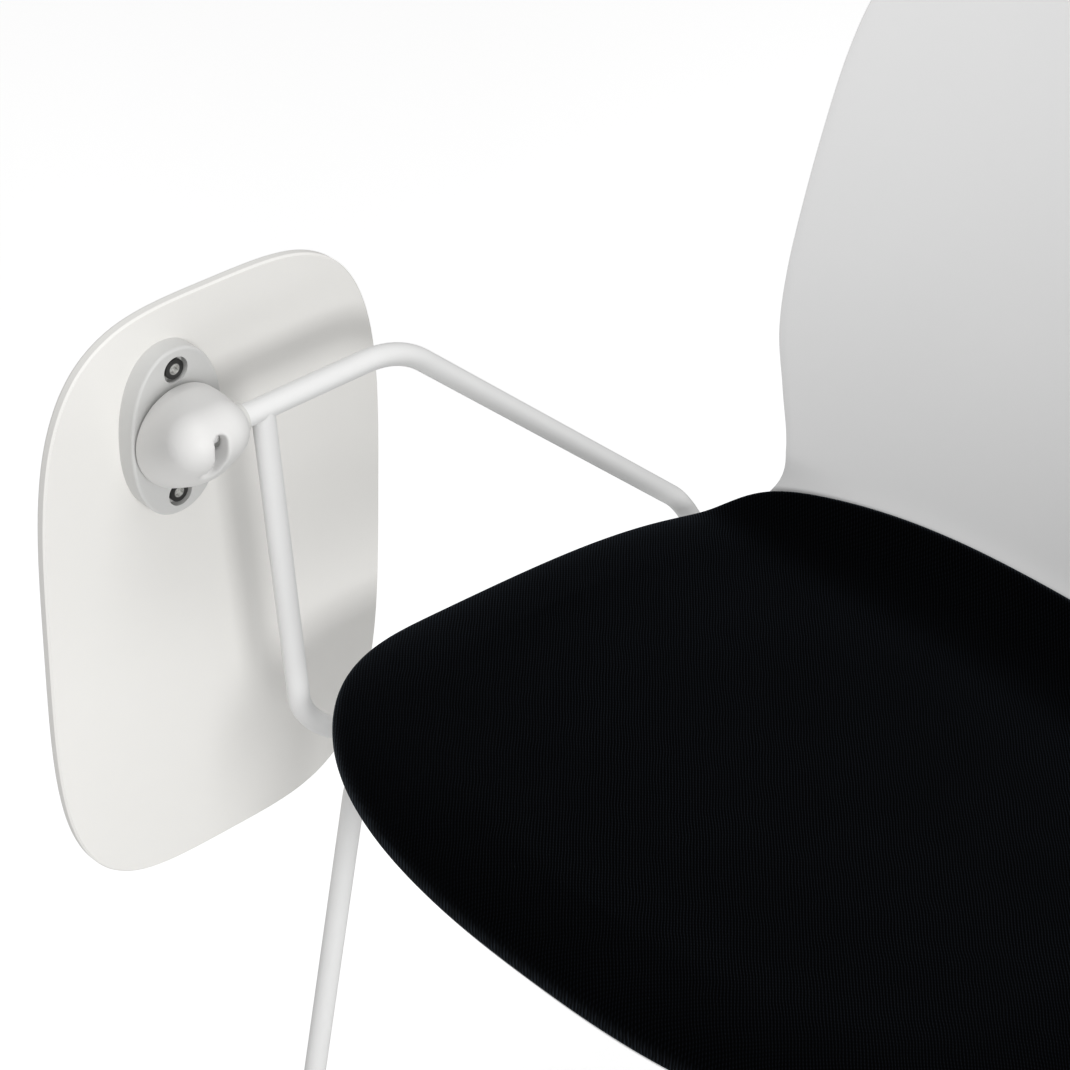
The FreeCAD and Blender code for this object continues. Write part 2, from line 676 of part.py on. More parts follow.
def build_arm():
    foot_gap = size.arm_plate_long / 2 - size.arm_foot_inset
    front = Vector(-ARM_REACH, -size.arm_front, ARM_HIGH)
    rear_corner = Vector(-ARM_REACH, -size.arm_corner, ARM_HIGH)
    rear_low = Vector(-ARM_REACH, size.arm_rear_reach, ARM_LOW_HIGH)
    rear_foot = Vector(-ARM_FOOT_HALF, size.arm_plate_middle + foot_gap, ARM_FOOT_HIGH)
    low_turn = (rear_foot - rear_low).normalize()
    back_turn = (rear_corner - rear_low).normalize()
    split = rear_low + back_turn * (rear_corner - rear_low).Length / 2
    upper = rod_between([front, rear_corner, split], size.arm_bend, size.rod_size)
    lower = rod_between([split, rear_low, rear_low + low_turn * (rear_foot - rear_low).Length],
                        size.arm_low_bend, size.rod_size)
    rod = upper.fuse(lower).removeSplitter()
    pin_way = Rotation(Y_AXIS, size.pin_angle).multVec(X_AXIS)
    pin_hole = Part.makeCylinder(size.pin_size / 2, size.rod_size, PIN_PLACE, pin_way)
    plate_place = Vector(-ARM_FOOT_HALF, size.arm_plate_middle, ARM_PLATE_LOW)
    plate_corner = plate_place - Vector(size.arm_plate_wide / 2, size.arm_plate_long / 2, 0)
    seat = Part.makeBox(size.arm_plate_wide, size.arm_plate_long, size.arm_plate_thick, plate_corner)
    nodes["arm_top_rod"] = feature("arm_top_rod", rod.cut(pin_hole).cut(seat))

    tee = Vector(-ARM_REACH, size.tee_set - size.arm_front, ARM_HIGH)
    front_low = Vector(-ARM_REACH, -size.arm_front_reach, ARM_LOW_HIGH)
    front_foot = Vector(-ARM_FOOT_HALF, size.arm_plate_middle - foot_gap, ARM_FOOT_HIGH)
    post = rod_between([tee, front_low, front_foot], size.arm_low_bend, size.rod_size)
    notch = Part.makeCylinder(size.rod_size / 2, size.overrun * 2, tee - Y_AXIS * size.overrun, Y_AXIS)
    nodes["arm_front_rod"] = feature("arm_front_rod", post.cut(notch).cut(seat))

    pin = doc.addObject("Part::Cylinder", "stop_pin")
    pin.Label = "stop_pin"
    pin.setExpression("Radius", "Sizes.pin_size / 2")
    pin.setExpression("Height", "Sizes.pin_out")
    pin.Placement = along(pin_way, PIN_PLACE)
    nodes["stop_pin"] = pin

    holes = [("0", f"Sizes.arm_screw_gap * {step}" if step else "0") for step in (-1, 0, 1)]
    plate = plate_body("arm_plate", "Sizes.arm_plate_wide", "Sizes.arm_plate_long", "Sizes.arm_plate_thick",
                       holes, "Sizes.screw_size")
    plate.Placement.Base = plate_place
    nodes["arm_plate"] = plate
    screw = screw_body("arm_screw", "Sizes.screw_head_size", "Sizes.screw_head_high", "Sizes.screw_size",
                       "Sizes.arm_plate_thick + Sizes.screw_bite", "Sizes.screw_key")
    head_low = ARM_PLATE_LOW - size.screw_head_high
    copies("arm_screws", screw, [along(-Z_AXIS, Vector(x, y, head_low)) for x, y in ARM_SCREW_PLACES])


# Hub: a round dome on the flange that narrows to a nose round the rod's end
SWIVEL = Vector(-ARM_REACH - size.hub_stand, size.swivel_set - size.arm_front, ARM_HIGH - size.swivel_drop)
FLANGE_TOP = SWIVEL.x + size.flange_thick
HUB_MOUTH = ARM_AXIS + Y_AXIS * (size.mouth_set - size.arm_front)
BORE_END = ARM_AXIS - Y_AXIS * (size.arm_front + size.hub_floor)


def build_hub():
    foot = Vector(FLANGE_TOP + size.friction_disc, SWIVEL.y, SWIVEL.z)
    disc = Part.makeCylinder(size.dome_size / 2, size.dome_wall, foot, X_AXIS)
    rim = [edge for edge in disc.Edges if edge.Closed and edge.CenterOfMass.x > foot.x + size.dome_wall / 2]
    disc = disc.makeFillet(size.dome_edge, rim)
    start = foot + X_AXIS * (size.dome_wall - size.dome_edge)
    nose_rear = ARM_AXIS + Vector(0, size.nose_set - size.arm_front, -size.nose_drop)
    nose_front = nose_rear - Y_AXIS * size.nose_long
    finish = (nose_front + nose_rear) * 0.5
    way = (finish - start).normalize()
    rings = []
    for share, wide in DOME_SHARES:
        facing = (X_AXIS * (1 - share) + way * share).normalize() if share < 1 else way
        ring = Part.Circle(start + (finish - start) * share, facing, size.dome_size / 2 * wide)
        rings.append(Part.Wire(ring.toShape()))
    bell = Part.makeLoft(rings, True, False)
    nose_round = size.nose_size / 2
    hub = disc.fuse([
        bell,
        Part.makeCylinder(nose_round, size.nose_long, nose_front, Y_AXIS),
        Part.makeSphere(nose_round, nose_front),
        Part.makeSphere(nose_round, nose_rear),
    ]).removeSplitter()
    bore_long = HUB_MOUTH.y - BORE_END.y + size.overrun
    hub = hub.cut(Part.makeCylinder(size.bush_size / 2, bore_long, BORE_END, Y_AXIS))
    hub = hub.cut(Part.makeCylinder(size.hub_mouth_size / 2, size.overrun, HUB_MOUTH, Y_AXIS))
    hub = hub.cut(Part.makeCylinder(size.pivot_thread_size / 2, size.pivot_bite + size.hub_floor, foot, X_AXIS))
    nodes["hub_housing"] = feature("hub_housing", hub.cut(stop_slot()))


def stop_slot():
    """Slot round the rod's axis in which the stop pin moves."""
    radius = size.pin_size / 2 + size.slot_fit
    upright = Rotation(X_AXIS, -90)
    first_angle = size.pin_angle - size.flip_angle
    sector = Part.makeCylinder(size.overrun * 2, radius * 2, Vector(0, 0, -radius), Z_AXIS, size.flip_angle)
    sector.Placement = Placement(PIN_PLACE, Rotation(Y_AXIS, first_angle).multiply(upright))
    cutter = sector
    for angle in (first_angle, size.pin_angle):
        way = Rotation(Y_AXIS, angle).multVec(X_AXIS)
        cutter = cutter.fuse(Part.makeCylinder(radius, size.overrun * 2, PIN_PLACE, way))
    return cutter


def build_hub_inside():
    bush = turned("bush", (
        ("Sizes.rod_size / 2 + Sizes.rod_fit", "0"),
        ("Sizes.bush_size / 2", "0"),
        ("Sizes.bush_size / 2", "Sizes.bush_long"),
        ("Sizes.rod_size / 2 + Sizes.rod_fit", "Sizes.bush_long"),
    ))
    end_long = "Sizes.pin_set - Sizes.pin_size / 2 - Sizes.slot_fit"
    end_bush = turned("end_bush", (
        ("Sizes.rod_size / 2 + Sizes.rod_fit", "0"),
        ("Sizes.bush_size / 2", "0"),
        ("Sizes.bush_size / 2", end_long),
        ("Sizes.rod_size / 2 + Sizes.rod_fit", end_long),
    ))
    doc.recompute()
    solids = []
    for source, place in ((bush, along(-Y_AXIS, HUB_MOUTH)), (end_bush, along(Y_AXIS, BORE_END))):
        solid = source.Shape.copy()
        solid.Placement = place
        solids.append(solid)
    nodes["hub_bushes"] = feature("hub_bushes", Part.Compound(solids))

    washer = turned("friction_washer", (
        ("Sizes.pivot_size / 2 + Sizes.rod_fit", "Sizes.flange_thick + Sizes.face_fit"),
        ("Sizes.friction_size / 2", "Sizes.flange_thick + Sizes.face_fit"),
        ("Sizes.friction_size / 2", "Sizes.flange_thick + Sizes.friction_disc"),
        ("Sizes.pivot_size / 2 + Sizes.rod_fit", "Sizes.flange_thick + Sizes.friction_disc"),
    ))
    head_top = "Sizes.pivot_sunk + Sizes.pivot_head_high"
    shoulder = "Sizes.flange_thick + Sizes.friction_disc"
    bolt = turned("pivot_bolt", (
        ("0", "Sizes.pivot_sunk + Sizes.pivot_head_high / 2"),
        ("Sizes.pivot_key / 2", "Sizes.pivot_sunk + Sizes.pivot_head_high / 2"),
        ("Sizes.pivot_key / 2", "Sizes.pivot_sunk"),
        ("Sizes.pivot_head_size / 2", "Sizes.pivot_sunk"),
        ("Sizes.pivot_head_size / 2", head_top),
        ("Sizes.pivot_size / 2", head_top),
        ("Sizes.pivot_size / 2", shoulder),
        ("Sizes.pivot_thread_size / 2", shoulder),
        ("Sizes.pivot_thread_size / 2", f"{shoulder} + Sizes.pivot_bite"),
        ("0", f"{shoulder} + Sizes.pivot_bite"),
    ))
    disc = turned("spring_washer", (
        ("Sizes.pivot_size / 2 + Sizes.rod_fit", head_top),
        ("Sizes.pivot_head_size / 2", head_top),
        ("Sizes.pivot_head_size / 2", f"{head_top} + Sizes.spring_disc - Sizes.face_fit"),
        ("Sizes.pivot_size / 2 + Sizes.rod_fit", f"{head_top} + Sizes.spring_disc - Sizes.face_fit"),
    ))
    for body in (washer, bolt, disc):
        body.Placement = along(X_AXIS, SWIVEL)
        nodes[body.Name] = body


# Tablet, its flange, screws and inserts, all placed from the swivel's axis
SCREW_PLACES = [SWIVEL + Z_AXIS * (side * size.flange_screw_gap / 2) for side in (-1, 1)]


def build_flange():
    points = rounded_outline(size.flange_wide / 2, size.flange_long / 2, FLANGE_POWER)
    ring = closed_curve([SWIVEL + Vector(0, across, up) for across, up in points])
    flange = Part.Face(ring).extrude(X_AXIS * size.flange_thick)
    top_rim = [edge for edge in flange.Edges if edge.BoundBox.XMin > FLANGE_TOP - size.flange_edge]
    flange = flange.makeFillet(size.flange_edge, top_rim)
    well_deep = size.pivot_sunk + size.pivot_head_high + size.spring_disc
    flange = flange.cut(Part.makeCylinder(size.flange_well_size / 2, well_deep, SWIVEL, X_AXIS))
    bore = size.pivot_size / 2 + size.rod_fit
    flange = flange.cut(Part.makeCylinder(bore, size.flange_thick, SWIVEL, X_AXIS))
    for place in SCREW_PLACES:
        top = place + X_AXIS * size.flange_thick
        flange = flange.cut(Part.makeCylinder(size.flange_recess_size / 2, size.flange_recess_deep, top, -X_AXIS))
        flange = flange.cut(Part.makeCylinder(size.flange_screw_size / 2, size.flange_thick, place, X_AXIS))
    nodes["tablet_flange"] = feature("tablet_flange", flange)

    screw = screw_body("flange_screw", "Sizes.flange_head_size", "Sizes.flange_head_high",
                       "Sizes.flange_screw_size",
                       "Sizes.flange_thick - Sizes.flange_recess_deep + Sizes.insert_long - Sizes.pivot_sunk",
                       "Sizes.flange_key")
    head_top = X_AXIS * (size.flange_thick - size.flange_recess_deep + size.flange_head_high)
    copies("flange_screws", screw, [along(X_AXIS, place + head_top) for place in SCREW_PLACES])
    insert = turned("tablet_insert", (
        ("Sizes.flange_screw_size / 2", "0"),
        ("Sizes.insert_size / 2", "0"),
        ("Sizes.insert_size / 2", "Sizes.insert_long"),
        ("Sizes.flange_screw_size / 2", "Sizes.insert_long"),
    ))
    copies("tablet_inserts", insert, [along(-X_AXIS, place) for place in SCREW_PLACES])


def build_tablet():
    centre = SWIVEL + Vector(0, size.tablet_back_set, -size.tablet_drop)
    points = rounded_outline(size.tablet_wide / 2, size.tablet_long / 2, TABLET_POWER)
    ring = closed_curve([centre + Vector(0, across, up) for across, up in points])
    top = Part.Face(ring).extrude(-X_AXIS * size.tablet_thick)
    rims = [edge for edge in top.Edges if edge.BoundBox.XLength < size.tablet_round]
    under = [edge for edge in rims if edge.BoundBox.XMin > centre.x - size.tablet_thick / 2]
    top = top.makeChamfer(size.tablet_bevel, under)
    face = [edge for edge in top.Edges if edge.BoundBox.XMax < centre.x - size.tablet_thick + size.tablet_round]
    top = top.makeFillet(size.tablet_round, face)
    for place in SCREW_PLACES:
        top = top.cut(Part.makeCylinder(size.insert_size / 2, size.insert_long, place, -X_AXIS))
    nodes["tablet_top"] = feature("tablet_top", top)


build_shell()
build_pad()
build_hoop("front_leg_hoop", FRONT_RUN_HIGH, "Sizes.front_run_reach", "Sizes.front_run_half",
           "Sizes.front_foot_reach", "Sizes.front_foot_half", -1)
build_hoop("rear_leg_hoop", REAR_RUN_HIGH, "Sizes.rear_run_reach", "Sizes.rear_run_half",
           "Sizes.rear_foot_reach", "Sizes.rear_foot_half", 1)
build_glides()
build_rails()
build_lugs()
build_arm()
build_hub()
build_hub_inside()
build_flange()
build_tablet()
doc.recompute()

for item in doc.Objects:
    if "Invalid" in item.State or "Error" in item.State:
        raise RuntimeError(f"{item.Label} failed: {item.State}")
for name, item in nodes.items():
    if item.Shape.isNull() or not item.Shape.isValid():
        raise RuntimeError(f"{name} has no valid shape")
for name, item in nodes.items():
    item.Shape.exportStep(f"parts/{name}.step")
    box = item.Shape.BoundBox
    print(f"{name}: {len(item.Shape.Solids)} solid(s), {item.Shape.Volume / 1000:.1f} cm3, "
          f"x {box.XMin:.1f} {box.XMax:.1f}, y {box.YMin:.1f} {box.YMax:.1f}, z {box.ZMin:.1f} {box.ZMax:.1f}")
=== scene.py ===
"""Shell chair with a folding writing tablet: finishes, padded seat, smooth shell and hub."""
import json
import math

import bmesh
import bpy
from mathutils import Matrix, Vector


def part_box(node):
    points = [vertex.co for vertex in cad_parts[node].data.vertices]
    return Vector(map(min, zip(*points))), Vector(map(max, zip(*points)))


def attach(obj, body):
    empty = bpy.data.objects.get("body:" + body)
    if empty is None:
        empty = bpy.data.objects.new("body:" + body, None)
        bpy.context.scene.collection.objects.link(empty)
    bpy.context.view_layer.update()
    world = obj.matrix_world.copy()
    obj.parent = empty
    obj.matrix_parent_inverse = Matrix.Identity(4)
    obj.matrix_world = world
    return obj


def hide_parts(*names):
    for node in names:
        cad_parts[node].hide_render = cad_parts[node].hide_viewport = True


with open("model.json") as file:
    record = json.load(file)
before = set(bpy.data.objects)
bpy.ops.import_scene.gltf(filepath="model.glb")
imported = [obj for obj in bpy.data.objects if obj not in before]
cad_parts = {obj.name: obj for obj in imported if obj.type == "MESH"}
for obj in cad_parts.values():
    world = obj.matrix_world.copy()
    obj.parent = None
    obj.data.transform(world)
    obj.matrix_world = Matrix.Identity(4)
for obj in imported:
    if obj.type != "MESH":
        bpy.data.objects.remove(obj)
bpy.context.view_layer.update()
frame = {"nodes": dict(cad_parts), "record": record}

NODES = frame["nodes"]

# Lengths are in metres. A run is a length along the shell's middle line, from the seat's front.

# Camera: fitted to the photograph, with its angles in degrees
CAMERA_PLACE = Vector((0.803, -0.98007, 1.47355))
CAMERA_AZIMUTH = 45.26
CAMERA_ELEVATION = 34.73
CAMERA_ROLL = 2.11
CAMERA_FOCUS_PX = 3232.5
CAMERA_SIGHT = 50
PHOTO_PX = 1070
SENSOR_MM = 36

# Studio: the camera sees the room white, and the object is lit by less
WORLD_LIGHT = 0.46
FLOOR_HALF = 6
FLOOR_GLOW = 0.45
LIGHT_AIM = Vector((-0.2, -0.1, 0.5))
SOFTBOXES = (  # name, place, side, watts
    ("key_softbox", Vector((1.85, -0.8, 1.2)), 0.8, 25),
    ("top_softbox", Vector((0.4, -0.35, 2.8)), 1.0, 20),
)

# Shell: its middle line runs back along the seat, round the bend and up the back
SHELL_HALF = 0.220
SHELL_WALL = 0.006
SHELL_CELLS = (72, 130)
SEAT_FRONT = 0.177
SEAT_MIDDLE = 0.046
SEAT_HIGH = 0.431
SEAT_SLOPE = math.radians(2.5)
SEAT_DISH = 0.007
SEAT_POWER = 2.57
LIP_RUN = 0.050
LIP_DROP = 0.004
BEND_RADIUS = 0.070
BACK_FOOT = 0.2045
BACK_LEAN = math.radians(12)
BACK_SWEEP = math.radians(8)
BACK_RUN = 0.346
BACK_HOLLOW = 0.450
BACK_CREST = 0.1844
BACK_POWER = 3.8
RIM_ROUND = 0.0022
RIM_ANGLE = math.radians(50)

# Shell's half widths as shares of the half width: by place along the seat, by share of the bend
# and by share of the back
SEAT_WIDTH_SHARES = ((-0.046, 1.0), (0.0164, 0.995), (0.0808, 0.965))
BEND_WIDTH_SHARES = ((0.0, 0.931), (0.33, 0.868), (0.67, 0.802), (1.0, 0.795))
BACK_WIDTH_SHARES = ((0.1, 0.838), (0.19, 0.879), (0.29, 0.897), (0.42, 0.902), (0.55, 0.902))

# Screw bosses below the shell: over the lugs and over the arm plate
LUG_SCREW_HALF = 0.095
LUG_SCREW_INSET = 0.013
PLATE_SCREW_STEP = 0.063
BOSS_RADIUS = 0.009
BOSS_ROOT_RADIUS = 0.0094
BOSS_SIDES = 40
BOSS_RIM = 0.0006
BOSS_RIM_ANGLE = math.radians(60)
BOSS_RIM_ABOVE = 0.0005

# Seat pad: its side is rings of (inset from the edge, height over the shell's face), from the
# underside round to the crown
PAD_OVERHANG = 0.0083
PAD_AHEAD = 0.0027
PAD_REAR_POWER = 3.78
PAD_REAR_SHARE = 0.895
PAD_REAR_THIN = 0.45
PAD_GAP = 0.0006
PAD_CROWN = 0.0012
PAD_CROWN_REACH = 0.09
PAD_SKIRT_CLEAR = 0.001
PAD_SKIRT_REACH = 0.003
PAD_SIDE = (
    (0.040, 0.0), (0.022, 0.0), (0.012, 0.0), (0.0078, 0.0), (0.0072, -0.0042),
    (0.003, -0.0048), (0.001, -0.004), (0.0, -0.0004), (0.0, 0.006), (0.0008, 0.009),
    (0.0025, 0.0115), (0.005, 0.0135), (0.010, 0.0155), (0.020, 0.018), (0.040, 0.020),
)
PAD_CELLS = 22
OUTLINE_STEPS = 1440

# Pad's cloth: diagonal ribs, lit on their ridges, and a painted sheen that brightens the colour
# where the cloth turns away
RIB_PITCH = 0.0015
RIB_WANDER = 2.5
RIB_SHARE = 0.5
THREAD_RATE = 0.7
THREAD_SHARE = 0.15
SLUB_SCALE = 900.0
SLUB_SHARE = 0.35
WEAVE_DEPTH = 0.00018
RIDGE_POWER = 3.0
RIDGE_LIGHT = 4.0
RIDGE_BASE = 0.05
PAINTED_SHEEN_GAIN = 24.0
PAINTED_SHEEN_POWER = 3.0
SHEEN = 0.05
SHEEN_ROUGHNESS = 0.3
SHEEN_TINT = (0.75, 0.9, 1.0, 1)

# Hub: the swivel's place and the rod's end, the bore and the thread, and how it is smoothed
SWIVEL = Vector((-0.282, -0.166, 0.6013))
ARM_END = Vector((-0.232, -0.195, 0.625))
BORE_SIZE = 0.016
BORE_LONG = 0.040
BORE_AHEAD = 0.0005
THREAD_SIZE = 0.008
THREAD_LONG = 0.0173
THREAD_SET = 0.010
HULL_VOXEL = 0.001
HULL_SOFTNESS = 14
SKIN_VOXEL = 0.0008
SKIN_SOFTNESS = 4
SOFTEN_SHARE = 0.6

# Slot of the hub's stop: an arc round the rod, cut from inside the bore to past the hub's skin
SLOT_SET = 0.0135
SLOT_HALF = 0.0041
SLOT_FIRST = math.radians(-12)
SLOT_LAST = math.radians(78)
SLOT_SKIN = 0.016
SLOT_INNER = 0.004
SLOT_OUTER = 0.04
SLOT_POINT = 0.00002
SLOT_STEPS = 24
SLOT_END_STEPS = 6
CUTTER_SIDES = 64

# Flange screws: their distance apart, and where the painted glint in their key sockets ends
FLANGE_SCREW_GAP = 0.072
SOCKET_OUTER = 0.0032
SOCKET_INNER = 0.0026

# Points closer than these are joined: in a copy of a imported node, and in the pad
NODE_MERGE = 0.00002
PAD_MERGE = 0.00001

BEND_TURN = math.pi / 2 - BACK_LEAN + SEAT_SLOPE
SEAT_REAR = BACK_FOOT - BEND_RADIUS * math.tan(BEND_TURN / 2) * math.cos(SEAT_SLOPE)
SEAT_RUN = (SEAT_FRONT + SEAT_REAR) / math.cos(SEAT_SLOPE)
BEND_RUN = BEND_RADIUS * BEND_TURN
SHELL_RUN = SEAT_RUN + BEND_RUN + BACK_RUN
CREST_RUN = BACK_CREST / math.cos(BACK_LEAN + BACK_SWEEP)
PAD_REAR_RUN = SEAT_RUN + BEND_RUN * PAD_REAR_SHARE


# Forms of the shell
def smooth_step(share):
    share = min(1, max(0, share))
    return share * share * (3 - 2 * share)


def through(stations, place):
    """Value of a smooth curve through stations of (place, value)."""
    if place <= stations[0][0]:
        return stations[0][1]
    if place >= stations[-1][0]:
        return stations[-1][1]
    index = max(i for i in range(len(stations) - 1) if stations[i][0] <= place)
    (a, low), (b, high) = stations[index], stations[index + 1]

    def grade(i):
        if i in (0, len(stations) - 1):
            return 0
        before, after = stations[i - 1], stations[i + 1]
        return (after[1] - before[1]) / (after[0] - before[0])

    t, run = (place - a) / (b - a), b - a
    start, finish = grade(index) * run, grade(index + 1) * run
    lift = (2 * t ** 3 - 3 * t ** 2 + 1) * low + (t ** 3 - 2 * t ** 2 + t) * start
    return lift + (3 * t ** 2 - 2 * t ** 3) * high + (t ** 3 - t ** 2) * finish


def lean(angle):
    """Upward direction that leans forward by an angle."""
    return Vector((0, -math.sin(angle), math.cos(angle)))


def run_at(reach):
    """Run at a distance behind the seat's middle."""
    return (reach + SEAT_FRONT) / math.cos(SEAT_SLOPE)


FRONT_RUN = run_at(-SEAT_MIDDLE)
CREST_START = SHELL_RUN - CREST_RUN
SIDE_STATIONS = (
    [(run_at(reach), share) for reach, share in SEAT_WIDTH_SHARES]
    + [(SEAT_RUN + BEND_RUN * share, wide) for share, wide in BEND_WIDTH_SHARES]
    + [(SEAT_RUN + BEND_RUN + BACK_RUN * share, wide) for share, wide in BACK_WIDTH_SHARES]
)


def middle_line(run):
    """Place, normal and hollow of the shell's face on its middle line."""
    seat_hollow = SEAT_DISH / SHELL_HALF ** 2
    back_hollow = 1 / (2 * BACK_HOLLOW)
    if run <= SEAT_RUN:
        reach = run * math.cos(SEAT_SLOPE) - SEAT_FRONT
        past = max(0, LIP_RUN - SEAT_FRONT - reach) / LIP_RUN
        high = SEAT_HIGH - math.tan(SEAT_SLOPE) * reach - LIP_DROP * past ** 2
        grade = -math.tan(SEAT_SLOPE) + 2 * LIP_DROP * past / LIP_RUN
        return Vector((0, reach, high)), Vector((0, -grade, 1)).normalized(), seat_hollow
    rear = Vector((0, SEAT_REAR, SEAT_HIGH - math.tan(SEAT_SLOPE) * SEAT_REAR))
    pivot = rear + lean(-SEAT_SLOPE) * BEND_RADIUS
    share = (run - SEAT_RUN) / BEND_RUN
    if share <= 1:
        angle = BEND_TURN * share - SEAT_SLOPE
        hollow = seat_hollow + (back_hollow - seat_hollow) * smooth_step(share)
        return pivot - lean(angle) * BEND_RADIUS, lean(angle), hollow
    start = BEND_TURN - SEAT_SLOPE
    foot = pivot - lean(start) * BEND_RADIUS
    angle = start - BACK_SWEEP * (run - SEAT_RUN - BEND_RUN) / BACK_RUN
    radius = BACK_RUN / BACK_SWEEP
    return foot + (lean(angle) - lean(start)) * radius, lean(angle), back_hollow


def on_shell(across, run, height=0):
    """Point over the shell's face, at a distance from the middle line."""
    place, normal, hollow = middle_line(run)
    return place + Vector((across, 0, 0)) + normal * (hollow * across ** 2 + height)


def soft_end(turn, power):
    """Point on a soft-cornered unit square, at a turn from the middle of its front side."""
    across, ahead = math.sin(turn), math.cos(turn)
    reach = (abs(across) ** power + abs(ahead) ** power) ** (-1 / power)
    return across * reach, ahead * reach


def side_of_shell(run):
    """Half width of the shell's outline."""
    if run < FRONT_RUN:
        share = (FRONT_RUN - run) / FRONT_RUN
        return SHELL_HALF * max(0, 1 - share ** SEAT_POWER) ** (1 / SEAT_POWER)
    wide = through(SIDE_STATIONS, run) * SHELL_HALF
    if run > CREST_START:
        share = min(1, (run - CREST_START) / CREST_RUN)
        wide *= max(0, 1 - share ** BACK_POWER) ** (1 / BACK_POWER)
    return wide


def shell_plan(u, v):
    """Point (across, run) of the shell's outline patch; u and v run from 0 to 1."""
    wide = through(SIDE_STATIONS, CREST_START) * SHELL_HALF

    def front(share):
        across, ahead = soft_end(share * math.pi / 4, SEAT_POWER)
        return Vector((across * SHELL_HALF, FRONT_RUN * (1 - ahead)))

    def rear(share):
        across, ahead = soft_end(share * math.pi / 4, BACK_POWER)
        return Vector((across * wide, CREST_START + CREST_RUN * ahead))

    def span(run):
        side = side_of_shell(run)
        return Vector((-side, run)) * (1 - u) + Vector((side, run)) * u

    low = FRONT_RUN * (1 - soft_end(math.pi / 4, SEAT_POWER)[1])
    high = CREST_START + CREST_RUN * soft_end(math.pi / 4, BACK_POWER)[1]
    across = front(2 * u - 1) * (1 - v) + rear(2 * u - 1) * v
    return across + span(low + (high - low) * v) - span(low) * (1 - v) - span(high) * v


# Helpers for pieces
def place_mesh(bm, name):
    """Turn a bmesh into an object of the scene."""
    mesh = bpy.data.meshes.new(name)
    bm.to_mesh(mesh)
    bm.free()
    placed = bpy.data.objects.new(name, mesh)
    bpy.context.scene.collection.objects.link(placed)
    return placed


def finish_piece(bm, name, body, slot, sharp=None):
    """Turn a bmesh into a piece that rides on a body; edges over the sharp angle stay hard."""
    for face in bm.faces:
        face.smooth = True
    if sharp is not None:
        for edge in bm.edges:
            if len(edge.link_faces) == 2 and edge.calc_face_angle(0) > math.radians(sharp):
                edge.smooth = False
    piece = place_mesh(bm, name)
    piece.data.materials.append(MATERIALS[slot])
    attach(piece, body)
    return piece


def add_modifier(piece, name, kind, **settings):
    modifier = piece.modifiers.new(name, kind)
    for key, setting in settings.items():
        setattr(modifier, key, setting)


def apply_modifiers(piece):
    """Keep a piece's evaluated mesh and drop its modifiers."""
    bpy.context.view_layer.update()
    graph = bpy.context.evaluated_depsgraph_get()
    mesh = bpy.data.meshes.new_from_object(piece.evaluated_get(graph))
    mesh.name = piece.name
    piece.modifiers.clear()
    piece.data = mesh


def copy_of_node(name):
    """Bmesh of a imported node, with its facets joined."""
    bm = bmesh.new()
    bm.from_mesh(NODES[name].data)
    bmesh.ops.remove_doubles(bm, verts=bm.verts, dist=NODE_MERGE)
    return bm


# Shader nodes and groups
def add(tree, kind, **settings):
    node = tree.nodes.new(kind)
    for key, setting in settings.items():
        setattr(node, key, setting)
    return node


def link(tree, source, target):
    tree.links.new(source, target)


def feed(tree, entry, socket):
    """Set a socket to a number, or link another socket to it."""
    if isinstance(entry, (int, float)):
        socket.default_value = entry
    else:
        link(tree, entry, socket)


def math_node(tree, operation, *entries):
    node = add(tree, "ShaderNodeMath", operation=operation)
    for socket, entry in zip(node.inputs, entries):
        feed(tree, entry, socket)
    return node.outputs[0]


def noise(tree, vector, scale, detail=2.0, roughness=0.5):
    node = add(tree, "ShaderNodeTexNoise")
    link(tree, vector, node.inputs["Vector"])
    feed(tree, scale, node.inputs["Scale"])
    node.inputs["Detail"].default_value = detail
    node.inputs["Roughness"].default_value = roughness
    return node.outputs["Fac"]


def new_group(name, numbers, result):
    """Group with a vector and some numbers going in, and one number coming out."""
    group = bpy.data.node_groups.new(name, "ShaderNodeTree")
    interface = group.interface
    interface.new_socket(name="Vector", in_out="INPUT", socket_type="NodeSocketVector")
    for label, default in numbers.items():
        socket = interface.new_socket(name=label, in_out="INPUT", socket_type="NodeSocketFloat")
        socket.default_value = default
    interface.new_socket(name=result, in_out="OUTPUT", socket_type="NodeSocketFloat")
    enter, leave = group.nodes.new("NodeGroupInput"), group.nodes.new("NodeGroupOutput")
    return group, enter.outputs, leave.inputs


def mottle_group():
    """Slow and quick changes of tone over a moulded or painted surface."""
    group, enter, leave = new_group("surface_mottle", {"Scale": 30.0, "Amount": 0.03}, "Tone")
    quick_rate, quick_share, mean = 9.0, 0.4, 0.7
    slow = noise(group, enter["Vector"], enter["Scale"], 3.0)
    quick = noise(group, enter["Vector"], math_node(group, "MULTIPLY", enter["Scale"], quick_rate))
    both = math_node(group, "ADD", slow, math_node(group, "MULTIPLY", quick, quick_share))
    centred = math_node(group, "SUBTRACT", both, mean)
    tone = math_node(group, "MULTIPLY_ADD", centred, enter["Amount"], 1.0)
    link(group, tone, leave["Tone"])
    return group


def grain_group():
    """Height of a moulded skin or powder coat: fine grain over a soft orange peel."""
    numbers = {"Peel scale": 300.0, "Grain scale": 1800.0, "Grain share": 0.4}
    group, enter, leave = new_group("skin_grain", numbers, "Height")
    peel = noise(group, enter["Vector"], enter["Peel scale"], 1.0)
    grain = noise(group, enter["Vector"], enter["Grain scale"], 2.0, 0.6)
    part = math_node(group, "MULTIPLY", grain, enter["Grain share"])
    link(group, math_node(group, "ADD", peel, part), leave["Height"])
    return group


